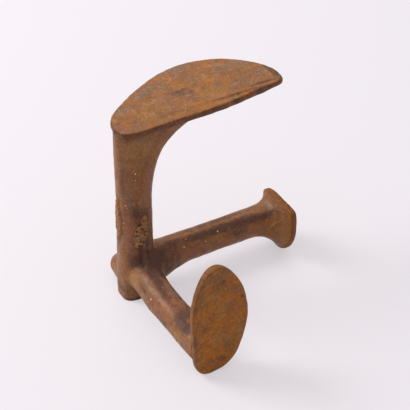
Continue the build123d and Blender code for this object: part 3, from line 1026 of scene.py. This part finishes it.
def wear_group():
    """Darkens hollows with dirt and painted shade, darkens the sides of plates, and lightens thin edges, from
    the piece's own values.
    """
    group, given, result = new_group(
        "Wear",
        (
            ("Vector", "NodeSocketVector", None),
            ("Color", "NodeSocketColor", None),
            ("Edge color", "NodeSocketColor", None),
            ("Dirt color", "NodeSocketColor", None),
            ("Edge", "NodeSocketFloat", None),
            ("Hollow", "NodeSocketFloat", None),
            ("Rim", "NodeSocketFloat", None),
            ("Edge wear", "NodeSocketFloat", None),
            ("Dirt", "NodeSocketFloat", None),
            ("Rim dirt", "NodeSocketFloat", None),
        ),
        (("Color", "NodeSocketColor"),),
    )
    value = given.outputs
    broken = step_between(group, noise(group, value["Vector"], 160, 4, 0.6), 0.35, 0.62)
    # Dirt and painted shade in the hollows, from the hollow value
    dirt = step_between(group, value["Hollow"], 0.10, 0.60)
    dirt = calculate(group, "MULTIPLY", dirt, value["Dirt"])
    side = calculate(group, "MULTIPLY_ADD", noise(group, value["Vector"], 110, 5, 0.65), 1.6, value["Rim"])
    side = calculate(group, "MULTIPLY", step_between(group, side, 1.20, 2.10), value["Rim dirt"])
    dirt = calculate(group, "MAXIMUM", dirt, side)
    colour_now = blend_colour(group, dirt, value["Color"], value["Dirt color"])
    worn = calculate(group, "MULTIPLY", step_between(group, value["Edge"], 0.10, 0.60), broken)
    worn = calculate(group, "MULTIPLY", worn, value["Edge wear"])
    colour_now = blend_colour(group, worn, colour_now, value["Edge color"])
    wire(group, colour_now, result.inputs["Color"])
    return group


def grain_group():
    """Height of the rust's own relief, in metres: lumps, grain and small pits."""
    group, given, result = new_group(
        "Rust relief",
        (
            ("Vector", "NodeSocketVector", None),
            ("Lumps", "NodeSocketFloat", 0.5),
            ("Grain", "NodeSocketFloat", 0.5),
            ("Pits", "NodeSocketFloat", 0.5),
        ),
        (("Height", "NodeSocketFloat"),),
    )
    vector = given.outputs["Vector"]
    lumps = calculate(group, "MULTIPLY", noise(group, vector, 150, 3), given.outputs["Lumps"])
    grain = calculate(group, "MULTIPLY", noise(group, vector, 650, 3, 0.6), given.outputs["Grain"])
    pit = step_between(group, noise(group, vector, 330, 2), 0.64, 0.80)
    pit = calculate(group, "MULTIPLY", pit, given.outputs["Pits"])
    height = calculate(group, "ADD", lumps, calculate(group, "MULTIPLY", grain, 0.4))
    height = calculate(group, "SUBTRACT", height, calculate(group, "MULTIPLY", pit, 0.5))
    wire(group, height, result.inputs["Height"])
    return group


def use_group(tree, group, **values):
    """Places a group in a material, with numbers, colours or links for its inputs."""
    node = tree.nodes.new("ShaderNodeGroup")
    node.node_tree = group
    for label, value in values.items():
        socket = node.inputs[label.replace("_", " ")]
        if isinstance(value, bpy.types.NodeSocket):
            wire(tree, value, socket)
        elif isinstance(value, (int, float)):
            socket.default_value = value
        else:
            socket.default_value = (*value, 1)
    return node


def attribute(tree, name):
    node = tree.nodes.new("ShaderNodeAttribute")
    node.attribute_name = name
    return node.outputs["Fac"]


def rust_material(name, warmth, patches, veins, shine, rim, groups):
    """Rusted iron: mottled colour with painted shade among its dark marks, worn edges, hollows darkened with
    dirt and painted shade, dirty rims, smoother where its old skin shows, and its own relief. rim is how dark
    the sides of plates are."""
    mottle, wear, relief = groups
    finish = bpy.context.scene.anvil_finish
    material = bpy.data.materials.new(name)
    material.use_nodes = True
    tree = material.node_tree
    shader = next(n for n in tree.nodes if n.type == "BSDF_PRINCIPLED")
    place = tree.nodes.new("ShaderNodeTexCoord").outputs["Object"]
    coloured = use_group(
        tree, mottle, Vector=place, Base=finish.brown, Warm=finish.orange, Grey=finish.grey,
        Red=finish.red, Ochre=finish.ochre, Dark=finish.dark, Pale=finish.pale,
        Warmth=warmth, Patches=patches, Veins=veins, Specks=0.6,
        Grey_mark=attribute(tree, "grey"), Red_mark=attribute(tree, "red"),
        Ochre_mark=attribute(tree, "ochre"), Dark_mark=attribute(tree, "dark"),
        Chips=attribute(tree, "chip"),
    )
    # The hollow value darkens the corners with the dark skin colour: dirt and painted shade
    worn = use_group(
        tree, wear, Vector=place, Color=coloured.outputs["Color"], Edge_color=finish.red,
        Dirt_color=finish.dark, Edge=attribute(tree, "edge"), Hollow=attribute(tree, "hollow"),
        Rim=attribute(tree, "rim"), Edge_wear=0.3, Dirt=0.6, Rim_dirt=rim,
    )
    wire(tree, worn.outputs["Color"], shader.inputs["Base Color"])
    gloss = coloured.outputs["Gloss"]
    rough = step_between(tree, noise(tree, place, 90, 4), 0.3, 0.7, False)
    rough = calculate(tree, "MULTIPLY_ADD", rough, 0.16, finish.roughness - 0.08)
    rough = calculate(tree, "MULTIPLY_ADD", gloss, -finish.gloss, rough)
    # Rougher where the dark marks lie: dark skin and painted shade
    rough = calculate(tree, "MULTIPLY_ADD", coloured.outputs["Dark_skin_and_shade"], 0.22, rough)
    wire(tree, rough, shader.inputs["Roughness"])
    shader.inputs["Specular IOR Level"].default_value = shine
    raised = use_group(tree, relief, Vector=place, Lumps=0.6, Grain=0.7, Pits=finish.pits)
    bump = tree.nodes.new("ShaderNodeBump")
    bump.inputs["Strength"].default_value = 0.8
    bump.inputs["Distance"].default_value = 0.0008
    wire(tree, raised.outputs["Height"], bump.inputs["Height"])
    wire(tree, bump.outputs["Normal"], shader.inputs["Normal"])
    return material


class ANVIL_OT_finishes(bpy.types.Operator):
    """Makes the three rust finishes and the node groups that they share"""

    bl_idname = "anvil.finishes"
    bl_label = "Finishes"

    def execute(self, context):
        groups = (mottle_group(), wear_group(), grain_group())
        rust_material("sole_rust", 0.90, 0.25, 0.12, 0.15, 0.85, groups)
        rust_material("face_rust", 1.0, 0.15, 0.06, 0.06, 0.40, groups)
        rust_material("skin_rust", 0.45, 0.80, 0.06, 0.24, 0.60, groups)
        return {"FINISHED"}


class ANVIL_OT_plates(bpy.types.Operator):
    """Makes the large sole, the small sole and the heel plate"""

    bl_idname = "anvil.plates"
    bl_label = "Plates"

    def execute(self, context):
        finishes = {
            "large_sole_plate": "sole_rust", "small_sole_plate": "face_rust", "heel_plate": "face_rust",
        }
        for node, finish in finishes.items():
            piece = cast(node, 0.004, bpy.data.materials[finish])
        return {"FINISHED"}


class ANVIL_OT_members(bpy.types.Operator):
    """Makes the post, the foot, the hub, both legs and the spur"""

    bl_idname = "anvil.members"
    bl_label = "Members"

    def execute(self, context):
        for node in ("upright_post", "centre_hub", "foot", "heel_leg", "small_sole_leg", "rear_spur"):
            piece = cast(node, 0.046, bpy.data.materials["skin_rust"])
        return {"FINISHED"}


def seen_directly(tree):
    """1 for rays from the camera, mirrored rays and rays through glass, which see the background."""
    path = tree.nodes.new("ShaderNodeLightPath")
    seen = calculate(tree, "MAXIMUM", path.outputs["Is Camera Ray"], path.outputs["Is Glossy Ray"])
    return calculate(tree, "MAXIMUM", seen, path.outputs["Is Transmission Ray"])


def add_floor(stage):
    """Flat floor, wide enough that no horizon shows. The camera sees it partly as plain background,
    so that the shadow on it stays light."""
    across, along = np.meshgrid(np.linspace(-6, 6, 3), np.linspace(-6, 6, 3), indexing="ij")
    points = np.stack([across, along, np.zeros_like(across)], -1).reshape(-1, 3)
    row = np.arange(2)[:, None] * 3 + np.arange(2)
    faces = np.stack([row, row + 3, row + 4, row + 1], -1).reshape(-1, 4)
    mesh = bpy.data.meshes.new("floor")
    mesh.from_pydata(points, [], faces)
    floor = bpy.data.objects.new("floor", mesh)
    bpy.context.scene.collection.objects.link(floor)
    material = bpy.data.materials.new("floor")
    material.use_nodes = True
    tree = material.node_tree
    shader = next(n for n in tree.nodes if n.type == "BSDF_PRINCIPLED")
    shader.inputs["Base Color"].default_value = (*stage.floor, 1)
    shader.inputs["Roughness"].default_value = 0.8
    shader.inputs["Specular IOR Level"].default_value = 0.1
    plain_white = tree.nodes.new("ShaderNodeEmission")
    plain_white.inputs["Color"].default_value = (*stage.background, 1)
    mix = tree.nodes.new("ShaderNodeMixShader")
    wire(tree, calculate(tree, "MULTIPLY", seen_directly(tree), stage.glow), mix.inputs["Fac"])
    wire(tree, shader.outputs["BSDF"], mix.inputs[1])
    wire(tree, plain_white.outputs["Emission"], mix.inputs[2])
    output = next(n for n in tree.nodes if n.type == "OUTPUT_MATERIAL")
    wire(tree, mix.outputs["Shader"], output.inputs["Surface"])
    mesh.materials.append(material)


def add_lamp(name, place, target, size, power):
    light = bpy.data.lights.new(name, "AREA")
    light.shape = "DISK"
    light.size = size
    light.energy = power
    lamp = bpy.data.objects.new(name, light)
    lamp.location = place
    lamp.rotation_euler = (Vector(target) - Vector(place)).to_track_quat("-Z", "Y").to_euler()
    bpy.context.scene.collection.objects.link(lamp)
    return lamp


def add_world(stage):
    """Pale background for the camera, dimmer in reflections and dimmer still as a light."""
    world = bpy.data.worlds.new("studio")
    bpy.context.scene.world = world
    world.use_nodes = True
    tree = world.node_tree
    background = next(n for n in tree.nodes if n.type == "BACKGROUND")
    background.inputs["Color"].default_value = (*stage.background, 1)
    path = tree.nodes.new("ShaderNodeLightPath")
    seen = calculate(tree, "MAXIMUM", path.outputs["Is Camera Ray"], path.outputs["Is Transmission Ray"])
    mirrored = path.outputs["Is Glossy Ray"]
    strength = calculate(tree, "MULTIPLY_ADD", seen, 1 - stage.sky, stage.sky)
    strength = calculate(tree, "MULTIPLY_ADD", mirrored, stage.shine - stage.sky, strength)
    wire(tree, strength, background.inputs["Strength"])


def add_camera(stage):
    """Stands at the photograph's angle: target plus distance along azimuth and elevation."""
    target = Vector(stage.target)
    flat = math.cos(stage.elevation)
    away = Vector((
        flat * math.sin(stage.azimuth), -flat * math.cos(stage.azimuth), math.sin(stage.elevation),
    ))
    data = bpy.data.cameras.new("camera")
    data.sensor_width = SENSOR_WIDTH
    data.lens = stage.focal_pixels / PHOTO_PIXELS * SENSOR_WIDTH
    camera = bpy.data.objects.new("camera", data)
    camera.location = target + away * stage.distance
    camera.rotation_euler = (-away).to_track_quat("-Z", "Y").to_euler()
    bpy.context.scene.collection.objects.link(camera)
    bpy.context.scene.camera = camera


class ANVIL_OT_stage(bpy.types.Operator):
    """Sets the floor, the lamps, the background and the camera"""

    bl_idname = "anvil.stage"
    bl_label = "Stage"

    def execute(self, context):
        stage = context.scene.anvil_stage
        context.scene.view_settings.view_transform = "Standard"
        add_floor(stage)
        add_world(stage)
        middle = (0.05, -0.03, 0.08)
        add_lamp("softbox", (-0.1, 0.4, 2.6), middle, 4.0, stage.softbox)
        add_lamp("key", (-1.5, 1.5, 1.9), middle, 1.4, stage.key)
        add_lamp("rear", (0.8, 1.5, 1.4), middle, 0.8, stage.rear)
        add_camera(stage)
        return {"FINISHED"}


class ANVIL_PT_panel(bpy.types.Panel):
    """Lists the steps in the sidebar"""

    bl_idname = "ANVIL_PT_panel"
    bl_label = "Cobbler's anvil"
    bl_space_type = "VIEW_3D"
    bl_region_type = "UI"
    bl_category = "Anvil"

    def draw(self, context):
        for operator in OPERATORS:
            self.layout.operator(operator.bl_idname)


GROUPS = {
    "anvil_plates": AnvilPlates,
    "anvil_post": AnvilPost,
    "anvil_legs": AnvilLegs,
    "anvil_scars": AnvilScars,
    "anvil_skin": AnvilSkin,
    "anvil_finish": AnvilFinish,
    "anvil_stage": AnvilStage,
}
OPERATORS = (ANVIL_OT_finishes, ANVIL_OT_plates, ANVIL_OT_members, ANVIL_OT_stage)


def register():
    for group in GROUPS.values():
        bpy.utils.register_class(group)
    for operator in OPERATORS:
        bpy.utils.register_class(operator)
    bpy.utils.register_class(ANVIL_PT_panel)
    for name, group in GROUPS.items():
        setattr(bpy.types.Scene, name, PointerProperty(type=group))


def unregister():
    for name in GROUPS:
        delattr(bpy.types.Scene, name)
    bpy.utils.unregister_class(ANVIL_PT_panel)
    for operator in reversed(OPERATORS):
        bpy.utils.unregister_class(operator)
    for group in reversed(GROUPS.values()):
        bpy.utils.unregister_class(group)


def main():
    register()
    bpy.ops.anvil.finishes()
    bpy.ops.anvil.plates()
    bpy.ops.anvil.members()
    bpy.ops.anvil.stage()


if __name__ == "__main__":
    main()
